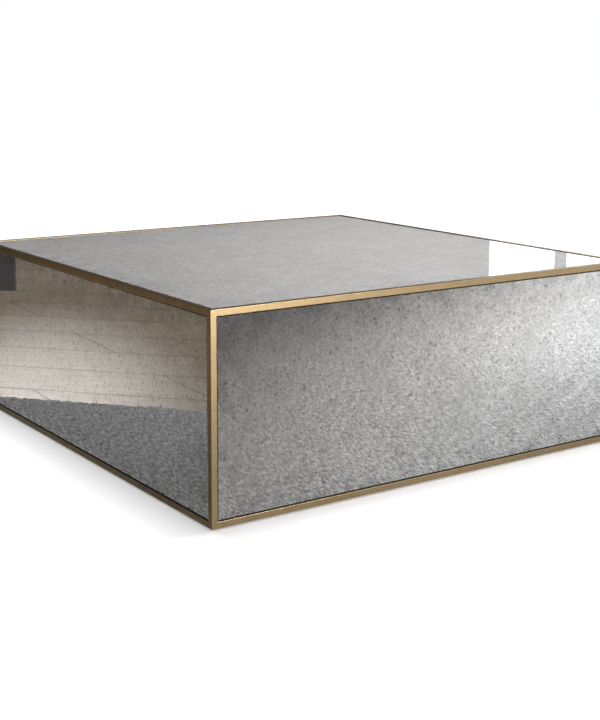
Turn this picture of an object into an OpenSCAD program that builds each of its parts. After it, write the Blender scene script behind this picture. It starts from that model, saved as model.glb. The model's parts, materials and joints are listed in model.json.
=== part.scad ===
// Low square coffee table: a plain box clad in antiqued mirror, each face set inside
// a slim frame of square brass tube, standing on four hidden screw feet.
// Origin: on the floor, under the middle of the table. +Z is up, -Y is the front.

/* [Table] */
// Length along X, over the frame
table_x = 1200; // [900:10:1400]
// Depth along Y, over the frame
table_y = 1200; // [900:10:1400]
// Height of the block, without its feet
block_h = 450; // [380:5:520]
// Gap that the feet leave under the frame
lift = 3; // [2:1:6]

/* [Brass frame] */
// Outside width of the square tube
tube_w = 14; // [12:1:18]
// Wall of the square tube
tube_wall = 1.5; // [1:0.25:2]
// Outside corner radius of the square tube
tube_r = 1.2; // [0.5:0.1:1.5]
// Leg of the corner gusset that carries the carcass
gusset_leg = 70; // [60:5:80]
// Thickness of the corner gusset
gusset_t = 2; // [1.5:0.5:3]

/* [Mirrors] */
// Thickness of the mirrors on the four sides
side_glass = 4; // [3:1:5]
// Thickness of the mirror on the top
top_glass = 6; // [4:1:8]
// How far the glass lies below the face of the tube
recess = 1.5; // [0.5:0.5:2]
// Width of the dark reveal between glass and tube
reveal = 2.5; // [2:0.5:4]
// Thickness of the mirror adhesive
bead_t = 1.5; // [1:0.5:2]
// Distance between two beads of adhesive
bead_pitch = 130; // [100:10:150]

/* [Carcass] */
// Thickness of the side boards
side_board_t = 12; // [10:1:15]
// Thickness of the top board
top_board_t = 18; // [15:1:22]
// Thickness of the base board
base_board_t = 12; // [12:1:18]
// Thickness of the egg-crate ribs
rib_t = 12; // [9:1:18]
// Side of the square corner blocks
block_w = 40; // [36:2:50]

/* [Feet] */
// Distance of a foot's axis from the outside of the frame
foot_inset = 80; // [75:5:150]
// Radius of the foot's pad
pad_r = 19; // [15:1:20]
// Length of stem that can be screwed out
foot_travel = 12; // [8:1:15]

/* [Hidden] */
$fn = 48;
eps = 0.01;
half_x = table_x / 2;
half_y = table_y / 2;
z0 = lift;
z1 = lift + block_h;

// Half widths between the tubes, and depth of the layers behind a side face
open_x = half_x - tube_w;
open_y = half_y - tube_w;
board_face = recess + side_glass + bead_t;
side_stack = board_face + side_board_t;
in_x = half_x - side_stack;
in_y = half_y - side_stack;

// Heights of the boards and of the mirrors
fit = 0.5;
side_z0 = z0 + tube_w + fit;
side_z1 = z1 - tube_w - fit;
base_z = z0 + tube_w;
floor_z = base_z + base_board_t;
top_z = z1 - recess - top_glass - bead_t;
ceiling_z = top_z - top_board_t;
glass_z0 = z0 + tube_w + reveal;
glass_z1 = z1 - tube_w - reveal;
gasket_sink = recess + 1.5;

// Countersunk wood screws
screw_r = 2;
head_r = 4;
head_h = 2.4;
screw_gap = 0.05;
side_screw_l = 40;
top_screw_l = 45;
gusset_screw_l = 40;
front_screw_z = [70, 230, 380];
left_screw_z = [110, 270, 340];
block_mid = block_w / 2;
gusset_screw_at = [[15, 35], [35, 15]];

// Screw foot: rubber sole, nylon pad, steel stem with a ball end, tee nut
sole_h = 2;
pad_h = 7;
pad_rim_h = 2.5;
pad_top_r = 10;
ball_r = 3.8;
ball_gap = 0.2;
ball_z = sole_h + 4.5;
neck_r = 2.7;
hex_r = 13 / 2 / cos(30);
stem_r = 3.95;
nut_bore_r = 4;
nut_barrel_r = 5;
nut_barrel_h = 10;
nut_flange_r = 11;
nut_flange_t = 1.5;
nut_z = base_z - nut_flange_t;
hex_z0 = sole_h + pad_h + 0.5;
hex_z1 = nut_z - 0.3;
stem_top_z = floor_z + foot_travel;
foot_x = half_x - foot_inset;
foot_y = half_y - foot_inset;

BRASS = [0.72, 0.58, 0.38];
MIRROR = [0.60, 0.59, 0.57];
GASKET = [0.16, 0.12, 0.09];
GLUE = [0.75, 0.74, 0.70];
BOARD = [0.66, 0.52, 0.36];
TIMBER = [0.78, 0.66, 0.46];
ZINC = [0.68, 0.70, 0.72];
NYLON = [0.12, 0.12, 0.13];
RUBBER = [0.20, 0.20, 0.20];

// ---- Helpers: placing ----

// Copies to the four corners, mirrored so that +X and +Y always point inwards.
module at_corners(x, y) {
    for (sx = [-1, 1], sy = [-1, 1])
        translate([sx * x, sy * y, 0])
            mirror([sx > 0 ? 1 : 0, 0, 0]) mirror([0, sy > 0 ? 1 : 0, 0]) children();
}

// A box from one corner to the opposite one.
module block(a, b) { translate(a) cube(b - a); }

// ---- Helpers: square tube ----

module rounded_square(w, r) {
    square([w - 2 * r, w], center = true);
    square([w, w - 2 * r], center = true);
    for (sx = [-1, 1], sy = [-1, 1])
        translate([sx * (w / 2 - r), sy * (w / 2 - r)]) circle(r);
}

// Square tube of length l, centred on +Z from the origin.
module square_tube(l) {
    linear_extrude(l) difference() {
        rounded_square(tube_w, tube_r);
        square(tube_w - 2 * tube_wall, center = true);
    }
}

// ---- Brass frame ----

module post(sx, sy) {
    color(BRASS)
        translate([sx * (half_x - tube_w / 2), sy * (half_y - tube_w / 2), z0 + tube_wall])
            square_tube(block_h - 2 * tube_wall);
}

module rail_x(sy, z) {
    color(BRASS)
        translate([-open_x, sy * (half_y - tube_w / 2), z + tube_w / 2])
            rotate([0, 90, 0]) square_tube(2 * open_x);
}

module rail_y(sx, z) {
    color(BRASS)
        translate([sx * (half_x - tube_w / 2), -open_y, z + tube_w / 2])
            rotate([-90, 0, 0]) square_tube(2 * open_y);
}

// Plates that close the ends of the posts, ground flush.
module post_end_plates() {
    color(BRASS)
        for (sx = [-1, 1], sy = [-1, 1], z = [z0, z1 - tube_wall])
            translate([sx * (half_x - tube_w / 2), sy * (half_y - tube_w / 2), z])
                linear_extrude(tube_wall) rounded_square(tube_w, tube_r);
}

// Triangular plates welded between the bottom rails, which the carcass stands on.
module frame_gussets() {
    color(ZINC)
        at_corners(open_x, open_y)
            translate([0, 0, base_z - gusset_t]) difference() {
                linear_extrude(gusset_t)
                    polygon([[0, 0], [gusset_leg, 0], [0, gusset_leg]]);
                for (p = gusset_screw_at)
                    translate([p.x, p.y, 0]) {
                        translate([0, 0, -1]) cylinder(r = screw_r + screw_gap, h = gusset_t + 2);
                        translate([0, 0, -eps])
                            cylinder(r1 = head_r + 2 * screw_gap, r2 = screw_r + screw_gap, h = head_h);
                    }
            }
}

// ---- Mirrors, their gaskets and their adhesive ----

// Everything that repeats on the sides is drawn for a front face of half width w.
module side_mirror(w, y) {
    color(MIRROR)
        block([-(w - reveal), -y + recess, glass_z0],
              [w - reveal, -y + recess + side_glass, glass_z1]);
}

module side_blocks_2d(w) {
    for (s = [-1, 1]) translate([s * w * 0.6, 0]) square([60, 2 * reveal], center = true);
}

module side_gasket(w, y) {
    color(GASKET)
        translate([0, -y + board_face, 0]) rotate([90, 0, 0])
            linear_extrude(board_face - gasket_sink) difference() {
                translate([-w, z0 + tube_w]) square([2 * w, block_h - 2 * tube_w]);
                translate([-(w - reveal), glass_z0]) square([2 * (w - reveal), glass_z1 - glass_z0]);
                translate([0, z0 + tube_w]) side_blocks_2d(w);
            }
}

module side_adhesive(w, y) {
    n = floor((w - reveal - 40) / bead_pitch);
    color(GLUE)
        for (i = [-n : n])
            block([i * bead_pitch - 4, -y + recess + side_glass, glass_z0 + 20],
                  [i * bead_pitch + 4, -y + board_face, glass_z1 - 20]);
}

module side_setting_blocks(w, y) {
    translate([0, -y + recess + side_glass, 0]) rotate([90, 0, 0])
        linear_extrude(recess + side_glass - gasket_sink) intersection() {
            translate([0, z0 + tube_w]) side_blocks_2d(w);
            translate([-w, z0 + tube_w]) square([2 * w, reveal]);
        }
}

// Turns a front face into the face on another side.
module face(side) {
    if (side == "front") children();
    if (side == "rear") rotate([0, 0, 180]) children();
    if (side == "left") rotate([0, 0, -90]) children();
    if (side == "right") rotate([0, 0, 90]) children();
}

function face_w(side) = (side == "front" || side == "rear") ? open_x : open_y;
function face_y(side) = (side == "front" || side == "rear") ? half_y : half_x;

module mirror_side(side) { face(side) side_mirror(face_w(side), face_y(side)); }
module gasket_side(side) { face(side) side_gasket(face_w(side), face_y(side)); }
module adhesive_side(side) { face(side) side_adhesive(face_w(side), face_y(side)); }

module setting_blocks() {
    color(NYLON)
        for (side = ["front", "rear", "left", "right"])
            face(side) side_setting_blocks(face_w(side), face_y(side));
}

module mirror_top() {
    color(MIRROR)
        block([-(open_x - reveal), -(open_y - reveal), z1 - recess - top_glass],
              [open_x - reveal, open_y - reveal, z1 - recess]);
}

module gasket_top() {
    color(GASKET)
        translate([0, 0, top_z]) linear_extrude(z1 - gasket_sink - top_z) difference() {
            square([2 * open_x, 2 * open_y], center = true);
            square([2 * (open_x - reveal), 2 * (open_y - reveal)], center = true);
        }
}

module adhesive_top() {
    n = floor((open_x - reveal - 40) / bead_pitch);
    color(GLUE)
        for (i = [-n : n])
            block([i * bead_pitch - 4, -(open_y - 40), top_z],
                  [i * bead_pitch + 4, open_y - 40, top_z + bead_t]);
}

// ---- Carcass ----

// Hole for a countersunk screw driven along -Z from z = 0.
module screw_hole(l) {
    translate([0, 0, -l]) cylinder(r = screw_r + screw_gap, h = l + eps);
    translate([0, 0, -head_h])
        cylinder(r1 = screw_r + screw_gap, r2 = head_r + 2 * screw_gap, h = head_h + eps);
}

// Countersunk screw of length l with a cross slot, driven along -Z from z = 0.
module screw(l) {
    difference() {
        rotate_extrude()
            polygon([[0, 0], [head_r, 0], [screw_r, -head_h], [screw_r, 4 - l], [0, -l]]);
        for (a = [0, 90])
            rotate(a) translate([-2, -0.5, -1.4]) cube([4, 1, 2]);
    }
}

// Places a screw of the front face: x along the face, z up, driven into the face.
module at_side_screws(side) {
    w = (side == "front" || side == "rear") ? in_x : in_y;
    zs = (side == "front" || side == "rear") ? front_screw_z : left_screw_z;
    face(side)
        for (s = [-1, 1], z = zs)
            translate([s * (w - block_mid), -face_y(side) + board_face, z0 + z])
                rotate([90, 0, 0]) children();
}

module side_board(side) {
    w = (side == "front" || side == "rear") ? open_x - fit : in_y;
    color(BOARD) difference() {
        face(side)
            block([-w, -face_y(side) + board_face, side_z0],
                  [w, -face_y(side) + side_stack, side_z1]);
        at_side_screws(side) screw_hole(side_screw_l);
    }
}

module at_top_screws() {
    for (sx = [-1, 1], sy = [-1, 1])
        translate([sx * (in_x - block_mid), sy * (in_y - block_mid), top_z]) children();
}

module at_gusset_screws() {
    at_corners(open_x, open_y)
        for (p = gusset_screw_at)
            translate([p.x, p.y, base_z - gusset_t]) rotate([180, 0, 0]) children();
}

module top_board() {
    color(BOARD) difference() {
        block([-in_x, -in_y, ceiling_z], [in_x, in_y, top_z]);
        at_top_screws() screw_hole(top_screw_l);
    }
}

module base_board() {
    color(BOARD) difference() {
        block([-in_x, -in_y, base_z], [in_x, in_y, floor_z]);
        at_gusset_screws() screw_hole(gusset_screw_l);
        at_corners(foot_x, foot_y)
            translate([0, 0, base_z - 1]) cylinder(r = nut_barrel_r + 0.05, h = base_board_t + 2);
    }
}

// One rib of the egg crate, along X; slot_z is where its halving slots start.
module rib(l, at, slot_at, slot_z) {
    half_h = (ceiling_z - floor_z) / 2;
    color(BOARD) difference() {
        block([-l, at - rib_t / 2, floor_z], [l, at + rib_t / 2, ceiling_z]);
        for (s = [-1, 1])
            block([s * slot_at - rib_t / 2 - 0.15, at - rib_t, slot_z],
                  [s * slot_at + rib_t / 2 + 0.15, at + rib_t, slot_z + half_h + 1]);
    }
}

module rib_along_x(s) {
    rib(in_x, s * in_y / 3, in_x / 3, (floor_z + ceiling_z) / 2);
}

module rib_along_y(s) {
    rotate([0, 0, 90]) rib(in_y, s * in_x / 3, in_y / 3, floor_z - 1);
}

module corner_blocks() {
    color(TIMBER) difference() {
        at_corners(in_x, in_y)
            block([0, 0, floor_z], [block_w, block_w, ceiling_z]);
        for (side = ["front", "rear", "left", "right"])
            at_side_screws(side) screw_hole(side_screw_l);
        at_top_screws() screw_hole(top_screw_l);
        at_gusset_screws() screw_hole(gusset_screw_l);
    }
}

module side_board_screws() {
    color(ZINC)
        for (side = ["front", "rear", "left", "right"])
            at_side_screws(side) screw(side_screw_l);
}

module top_board_screws() { color(ZINC) at_top_screws() screw(top_screw_l); }
module gusset_screws() { color(ZINC) at_gusset_screws() screw(gusset_screw_l); }

// ---- Screw feet ----

// Tee nuts knocked into the base board from below.
module tee_nuts() {
    color(ZINC)
        at_corners(foot_x, foot_y)
            difference() {
                union() {
                    translate([0, 0, nut_z]) cylinder(r = nut_flange_r, h = nut_flange_t);
                    translate([0, 0, nut_z])
                        cylinder(r = nut_barrel_r, h = nut_flange_t + nut_barrel_h);
                    for (a = [0 : 90 : 270])
                        rotate(a) block([8, -1.5, nut_z], [9, 1.5, base_z + 6]);
                }
                translate([0, 0, nut_z - 1])
                    cylinder(r = nut_bore_r, h = nut_flange_t + nut_barrel_h + 2);
            }
}

module foot_stem(sx, sy) {
    color(ZINC) translate([sx * foot_x, sy * foot_y, 0]) {
        translate([0, 0, ball_z]) sphere(ball_r);
        translate([0, 0, ball_z]) cylinder(r = neck_r, h = hex_z0 - ball_z + eps);
        translate([0, 0, hex_z0]) cylinder(r = hex_r, h = hex_z1 - hex_z0, $fn = 6);
        translate([0, 0, hex_z1 - eps]) cylinder(r = stem_r, h = stem_top_z - 1 - hex_z1 + eps);
        translate([0, 0, stem_top_z - 1]) cylinder(r1 = stem_r, r2 = stem_r - 1, h = 1);
    }
}

module foot_pad(sx, sy) {
    color(NYLON) translate([sx * foot_x, sy * foot_y, 0]) difference() {
        rotate_extrude()
            polygon([[0, sole_h], [pad_r, sole_h], [pad_r, sole_h + pad_rim_h],
                     [pad_top_r, sole_h + pad_h], [0, sole_h + pad_h]]);
        translate([0, 0, ball_z]) sphere(ball_r + ball_gap);
    }
}

module foot_sole(sx, sy) {
    color(RUBBER) translate([sx * foot_x, sy * foot_y, 0]) cylinder(r = pad_r - 0.5, h = sole_h);
}

post(-1, -1);  // post_front_left
post(1, -1);  // post_front_right
post(-1, 1);  // post_rear_left
post(1, 1);  // post_rear_right
rail_x(-1, z1 - tube_w);  // top_rail_front
rail_x(1, z1 - tube_w);  // top_rail_rear
rail_y(-1, z1 - tube_w);  // top_rail_left
rail_y(1, z1 - tube_w);  // top_rail_right
rail_x(-1, z0);  // bottom_rail_front
rail_x(1, z0);  // bottom_rail_rear
rail_y(-1, z0);  // bottom_rail_left
rail_y(1, z0);  // bottom_rail_right
post_end_plates();
frame_gussets();
mirror_top();
mirror_side("front");  // mirror_front
mirror_side("rear");  // mirror_rear
mirror_side("left");  // mirror_left
mirror_side("right");  // mirror_right
gasket_top();
gasket_side("front");  // gasket_front
gasket_side("rear");  // gasket_rear
gasket_side("left");  // gasket_left
gasket_side("right");  // gasket_right
adhesive_top();
adhesive_side("front");  // adhesive_front
adhesive_side("rear");  // adhesive_rear
adhesive_side("left");  // adhesive_left
adhesive_side("right");  // adhesive_right
setting_blocks();
top_board();
base_board();
side_board("front");  // front_board
side_board("rear");  // rear_board
side_board("left");  // left_board
side_board("right");  // right_board
rib_along_x(-1);  // rib_front
rib_along_x(1);  // rib_rear
rib_along_y(1);  // rib_left
rib_along_y(-1);  // rib_right
corner_blocks();
side_board_screws();
top_board_screws();
gusset_screws();
tee_nuts();
foot_stem(-1, -1);  // foot_stem_front_left
foot_stem(1, -1);  // foot_stem_front_right
foot_stem(-1, 1);  // foot_stem_rear_left
foot_stem(1, 1);  // foot_stem_rear_right
foot_pad(-1, -1);  // foot_pad_front_left
foot_pad(1, -1);  // foot_pad_front_right
foot_pad(-1, 1);  // foot_pad_rear_left
foot_pad(1, 1);  // foot_pad_rear_right
foot_sole(-1, -1);  // foot_sole_front_left
foot_sole(1, -1);  // foot_sole_front_right
foot_sole(-1, 1);  // foot_sole_rear_left
foot_sole(1, 1);  // foot_sole_rear_right
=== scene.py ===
"""Block coffee table clad in antiqued mirror, inside a frame of antique brass bars.

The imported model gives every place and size. Here the brass bars, the mirrors and the screw feet are built
anew, because their shape or surface says more than the plain solids do, and the carcass keeps its solids
and is given its finishes. Lengths are in metres, +Z is up and -Y is the front.
"""

import functools
import json
import logging
import math
from abc import ABC, abstractmethod
from dataclasses import dataclass, field
from enum import Enum
from typing import Any, ClassVar, Mapping

import bpy
import numpy as np
from mathutils import Matrix, Vector


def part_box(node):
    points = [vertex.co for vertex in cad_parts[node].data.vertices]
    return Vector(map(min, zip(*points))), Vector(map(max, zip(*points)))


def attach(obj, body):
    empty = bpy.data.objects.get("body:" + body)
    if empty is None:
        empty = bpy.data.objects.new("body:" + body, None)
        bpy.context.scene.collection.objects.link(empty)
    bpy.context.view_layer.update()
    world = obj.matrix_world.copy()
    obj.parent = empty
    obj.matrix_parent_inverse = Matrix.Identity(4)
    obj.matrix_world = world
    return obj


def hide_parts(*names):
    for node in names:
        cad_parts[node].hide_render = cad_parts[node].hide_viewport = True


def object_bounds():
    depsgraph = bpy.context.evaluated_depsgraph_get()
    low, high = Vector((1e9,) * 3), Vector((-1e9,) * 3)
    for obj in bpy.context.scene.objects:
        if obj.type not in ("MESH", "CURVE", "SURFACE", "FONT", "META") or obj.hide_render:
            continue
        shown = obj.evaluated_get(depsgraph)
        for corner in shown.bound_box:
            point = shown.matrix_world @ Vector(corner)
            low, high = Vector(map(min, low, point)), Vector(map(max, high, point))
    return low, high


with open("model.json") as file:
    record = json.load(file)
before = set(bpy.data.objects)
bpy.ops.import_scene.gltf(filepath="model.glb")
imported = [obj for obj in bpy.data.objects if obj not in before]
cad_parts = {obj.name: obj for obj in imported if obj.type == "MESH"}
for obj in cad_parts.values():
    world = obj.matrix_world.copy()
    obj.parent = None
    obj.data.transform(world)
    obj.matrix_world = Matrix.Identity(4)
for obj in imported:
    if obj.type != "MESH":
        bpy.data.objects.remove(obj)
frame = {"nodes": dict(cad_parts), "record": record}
CAD_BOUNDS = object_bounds()

LOG = logging.getLogger("table")

Array = np.ndarray
Colour = tuple[float, float, float]
Point = tuple[float, float, float]
Piece = bpy.types.Object
Material = bpy.types.Material
Tree = bpy.types.ShaderNodeTree
Socket = bpy.types.NodeSocket
Value = Socket | float | tuple[float, ...]


# ---- Names shared with the frame ----


class Slot(Enum):
    """The material slots of the record."""

    BRASS = "antique_brass"
    MIRROR = "antiqued_mirror"
    GASKET = "gasket_strip"
    ADHESIVE = "mirror_adhesive"
    FIBREBOARD = "fibreboard"
    SOFTWOOD = "softwood"
    ZINC = "zinc_steel"
    NYLON = "nylon"
    RUBBER = "sole_rubber"


class Face(Enum):
    """The five faces that carry a mirror."""

    TOP = "top"
    FRONT = "front"
    REAR = "rear"
    LEFT = "left"
    RIGHT = "right"


class Corner(Enum):
    """The four corners in plan."""

    FRONT_LEFT = "front_left"
    FRONT_RIGHT = "front_right"
    REAR_LEFT = "rear_left"
    REAR_RIGHT = "rear_right"


# ---- Surfaces ----


def node_box(node: str) -> tuple[Array, Array]:
    """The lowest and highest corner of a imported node."""
    low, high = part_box(node)
    return np.array(low), np.array(high)


@dataclass
class Surface:
    """A closed skin: its points, its faces as lists of point numbers, and values held at each point."""

    points: Array
    faces: list[list[int]]
    values: dict[str, Array] = field(default_factory=dict)


def loft(rings: Array) -> Surface:
    """Skins a stack of closed rings and closes both ends.

    Point j of ring i makes a quad with (i, j + 1), (i + 1, j + 1) and (i + 1, j). Each end ring is closed by
    triangles to its mean. Six times the enclosed volume is the sum over triangles of a . (b x c); where it
    comes out negative the faces are turned round, so that they always point outwards.

    Args:
        rings: Points, of shape (rings, points in a ring, 3).

    Returns:
        The closed surface. The two end means follow the ring points.
    """
    count, around = rings.shape[:2]
    i, j = np.meshgrid(np.arange(count - 1), np.arange(around), indexing="ij")
    near, ahead = i * around + j, i * around + (j + 1) % around
    quads = np.stack([near, ahead, ahead + around, near + around], -1).reshape(-1, 4)
    here = np.arange(around)
    there = (here + 1) % around
    last = (count - 1) * around
    start_fan = np.stack([np.full(around, count * around), there, here], -1)
    end_fan = np.stack([np.full(around, count * around + 1), last + here, last + there], -1)
    fans = np.vstack([start_fan, end_fan])
    points = np.vstack([rings.reshape(-1, 3), rings[0].mean(0), rings[-1].mean(0)])
    triangles = np.vstack([quads[:, :3], quads[:, [0, 2, 3]], fans])
    a, b, c = (points[triangles[:, k]] for k in range(3))
    if np.sum(a * np.cross(b, c)) < 0:
        quads, fans = quads[:, ::-1], fans[:, ::-1]
    return Surface(points, quads.tolist() + fans.tolist())


def lathe(profile: Array, axis: tuple[float, float], around: int) -> Surface:
    """Turns a profile about an upright axis.

    The point at angle t and profile place k is (x + r_k cos t, y + r_k sin t, z_k).

    Args:
        profile: Radii and heights, of shape (places, 2).
        axis: Where the axis stands in plan.
        around: Points in a turn.

    Returns:
        The closed surface.
    """
    turn = np.linspace(0, 2 * np.pi, around, endpoint=False)
    radius, height = profile[:, :1], profile[:, 1:]
    rings = np.stack([axis[0] + radius * np.cos(turn), axis[1] + radius * np.sin(turn),
                      np.broadcast_to(height, (len(profile), around))], -1)
    return loft(rings)


def add_piece(name: str, surface: Surface, finish: "Finish", body: str, nodes: list[str],
              smooth_below: float = math.radians(35)) -> Piece:
    """Makes a surface a piece of the table, with its place in its mesh.

    Args:
        name: The piece's name.
        surface: Its shape, and the values that its finish reads.
        finish: What it is made of.
        body: The body that it moves with.
        nodes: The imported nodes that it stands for.
        smooth_below: Edges that turn by less than this angle are shaded round.

    Returns:
        The new object.
    """
    mesh = bpy.data.meshes.new(name)
    mesh.from_pydata(surface.points, [], surface.faces)
    for key, values in surface.values.items():
        kind, slot = ("FLOAT", "value") if values.ndim == 1 else ("FLOAT_VECTOR", "vector")
        mesh.attributes.new(key, kind, "POINT").data.foreach_set(slot, values.astype(np.float32).ravel())
    mesh.shade_smooth()
    mesh.set_sharp_from_angle(angle=smooth_below)
    mesh.materials.append(finish.material())
    piece = bpy.data.objects.new(name, mesh)
    bpy.context.scene.collection.objects.link(piece)
    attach(piece, body)
    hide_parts(*nodes)
    return piece


# ---- Shader graphs ----


class Graph:
    """A shader tree that is filled node by node, each wired as it is made."""

    def __init__(self, tree: Tree) -> None:
        """Takes the tree to fill."""
        self.tree = tree

    def node(self, kind: str, inputs: Mapping[str | int, Value], **settings: Any) -> bpy.types.Node:
        """Adds a node.

        Args:
            kind: Its type, without the prefix that all shader nodes share.
            inputs: A socket to link, or a constant to set, for each input by name or number.
            **settings: Its other properties.

        Returns:
            The node.
        """
        node = self.tree.nodes.new("ShaderNode" + kind)
        node.location = (220 * len(self.tree.nodes), 0)
        for key, setting in settings.items():
            setattr(node, key, setting)
        for key, value in inputs.items():
            if isinstance(value, Socket):
                self.tree.links.new(value, node.inputs[key])
            else:
                node.inputs[key].default_value = value
        return node

    def effect(self, group: Tree, inputs: Mapping[str, Value]) -> Socket:
        """Places a shared effect with its own values, and returns its mask."""
        return self.node("Group", inputs, node_tree=group).outputs[0]

    def maths(self, operation: str, a: Value, b: Value = 0.0) -> Socket:
        """One step of arithmetic on two numbers."""
        return self.node("Math", {0: a, 1: b}, operation=operation).outputs[0]

    def vector_maths(self, operation: str, a: Value, b: Value, output: str = "Vector") -> Socket:
        """One step of arithmetic on two vectors."""
        return self.node("VectorMath", {0: a, 1: b}, operation=operation).outputs[output]

    def product(self, value: Value, *factors: Value) -> Socket:
        """The product of numbers."""
        for factor in factors:
            value = self.maths("MULTIPLY", value, factor)
        return value

    def length(self, vector: Value) -> Socket:
        """How long a vector is."""
        return self.node("VectorMath", {0: vector}, operation="LENGTH").outputs["Value"]

    def total(self, *terms: tuple[Value, float]) -> Socket:
        """The sum of masks, each times its weight, kept between 0 and 1."""
        value: Value = 0.0
        for mask, weight in terms:
            step = self.node("Math", {0: mask, 1: weight, 2: value}, operation="MULTIPLY_ADD")
            value = step.outputs[0]
        step.use_clamp = True
        return value

    def mix(self, factor: Value, a: Value, b: Value) -> Socket:
        """A colour between a and b."""
        ends = {6: as_rgba(a), 7: as_rgba(b)}
        return self.node("Mix", {0: factor, **ends}, data_type="RGBA").outputs[2]

    def scaled(self, colour: Value, factor: Value) -> Socket:
        """A colour times a number."""
        return self.node("VectorMath", {0: colour, "Scale": factor}, operation="SCALE").outputs[0]

    def ramp(self, value: Value, low: Value, high: Value, at_low: float = 0.0,
             at_high: float = 1.0) -> Socket:
        """A smooth step from at_low to at_high as value goes from low to high."""
        inputs = {"Value": value, "From Min": low, "From Max": high, "To Min": at_low, "To Max": at_high}
        return self.node("MapRange", inputs, interpolation_type="SMOOTHSTEP").outputs[0]

    def noise(self, vector: Value, scale: Value, detail: Value = 3.0, roughness: float = 0.55) -> Socket:
        """Fractal noise, about 0 to 1."""
        inputs = {"Vector": vector, "Scale": scale, "Detail": detail, "Roughness": roughness}
        return self.node("TexNoise", inputs).outputs[0]

    def place(self) -> Socket:
        """Object coordinates."""
        return self.node("TexCoord", {}).outputs["Object"]

    def attribute(self, name: str, output: str = "Fac") -> Socket:
        """A value that the mesh holds."""
        return self.node("Attribute", {}, attribute_name=name).outputs[output]

    def bump(self, height: Value, strength: float, distance: float) -> Socket:
        """A normal tilted by the slope of height."""
        inputs = {"Height": height, "Strength": strength, "Distance": distance}
        return self.node("Bump", inputs).outputs[0]


def as_rgba(value: Value) -> Value:
    """A colour constant with its alpha, or a socket as it is."""
    return value if isinstance(value, Socket) else (*value[:3], 1.0)


def new_effect(name: str, inputs: Mapping[str, float | None]) -> tuple[Graph, dict[str, Socket]]:
    """Starts a node group that puts out one mask.

    Args:
        name: The group's name.
        inputs: The default of each number, or None for a vector.

    Returns:
        The group's graph, and its inputs as sockets inside the group.
    """
    tree = bpy.data.node_groups.new(name, "ShaderNodeTree")
    for key, default in inputs.items():
        kind = "NodeSocketVector" if default is None else "NodeSocketFloat"
        socket = tree.interface.new_socket(name=key, in_out="INPUT", socket_type=kind)
        if default is not None:
            socket.default_value = default
    tree.interface.new_socket(name="Mask", in_out="OUTPUT", socket_type="NodeSocketFloat")
    outputs = tree.nodes.new("NodeGroupInput").outputs
    return Graph(tree), {key: outputs[key] for key in inputs}


def end_effect(graph: Graph, mask: Socket) -> Tree:
    """Wires a mask to its group's output, and returns the group."""
    graph.tree.links.new(mask, graph.tree.nodes.new("NodeGroupOutput").inputs["Mask"])
    return graph.tree


@functools.cache
def mottle() -> Tree:
    """Clouds: fractal noise of a given size, with a smooth step between two of its levels."""
    graph, given = new_effect("Mottle", {"Vector": None, "Size": 0.1, "Low": 0.4, "High": 0.6})
    per_metre = graph.maths("DIVIDE", 1.0, given["Size"])
    clouds = graph.noise(given["Vector"], per_metre, 5.0, 0.6)
    return end_effect(graph, graph.ramp(clouds, given["Low"], given["High"]))


@functools.cache
def speckle() -> Tree:
    """Soft dots: one in each cell of a Voronoi pattern, with a radius of its own.

    A cell is left empty when its random number is below Empty. Otherwise that number, from Empty to 1, takes
    the dot's radius from half to all of Radius, and Softness is the share of it that fades.
    """
    inputs = {"Vector": None, "Spacing": 0.02, "Radius": 0.3, "Empty": 0.5, "Softness": 0.5}
    graph, given = new_effect("Speckle", inputs)
    per_metre = graph.maths("DIVIDE", 1.0, given["Spacing"])
    cells = graph.node("TexVoronoi", {"Vector": given["Vector"], "Scale": per_metre})
    chance = graph.node("SeparateColor", {0: cells.outputs["Color"]}).outputs[0]
    wander = graph.noise(given["Vector"], graph.product(per_metre, 2.0), 2.0)
    ragged = graph.maths("ADD", cells.outputs["Distance"], graph.ramp(wander, 0.2, 0.8, -0.1, 0.1))
    radius = graph.product(given["Radius"], graph.ramp(chance, given["Empty"], 1.0, 0.5, 1.0))
    core = graph.product(radius, graph.maths("SUBTRACT", 1.0, given["Softness"]))
    dot = graph.ramp(ragged, core, radius, 1.0, 0.0)
    filled = graph.maths("GREATER_THAN", chance, given["Empty"])
    return end_effect(graph, graph.product(dot, filled))


@functools.cache
def brushing() -> Tree:
    """Fine lines along a direction: noise in coordinates pressed together along Run by Stretch."""
    inputs = {"Vector": None, "Run": None, "Size": 0.001, "Stretch": 40.0, "Detail": 2.0}
    graph, given = new_effect("Brushing", inputs)
    along = graph.vector_maths("DOT_PRODUCT", given["Vector"], given["Run"], "Value")
    kept = graph.maths("SUBTRACT", graph.maths("DIVIDE", 1.0, given["Stretch"]), 1.0)
    pressed = graph.scaled(given["Run"], graph.product(along, kept))
    vector = graph.vector_maths("ADD", given["Vector"], pressed)
    lines = graph.noise(vector, graph.maths("DIVIDE", 1.0, given["Size"]), given["Detail"], 0.65)
    return end_effect(graph, lines)


def mottled(graph: Graph, place: Socket, size: float, low: float, high: float) -> Socket:
    """Clouds of a size in metres, as a mask that goes from 0 to 1 between two levels of their noise."""
    return graph.effect(mottle(), {"Vector": place, "Size": size, "Low": low, "High": high})


def speckled(graph: Graph, place: Socket, spacing: float, radius: float, empty: float,
             softness: float = 0.5) -> Socket:
    """Dots a spacing apart in metres, as a mask; radius is a share of the spacing."""
    return graph.effect(speckle(), {"Vector": place, "Spacing": spacing, "Radius": radius, "Empty": empty,
                                    "Softness": softness})


def brushed(graph: Graph, place: Socket, run: Value, size: float, stretch: float,
            detail: float = 2.0) -> Socket:
    """Lines along run, of a size in metres and longer than wide by stretch, as noise from 0 to 1."""
    return graph.effect(brushing(), {"Vector": place, "Run": run, "Size": size, "Stretch": stretch,
                                     "Detail": detail})


# ---- Finishes ----


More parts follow.
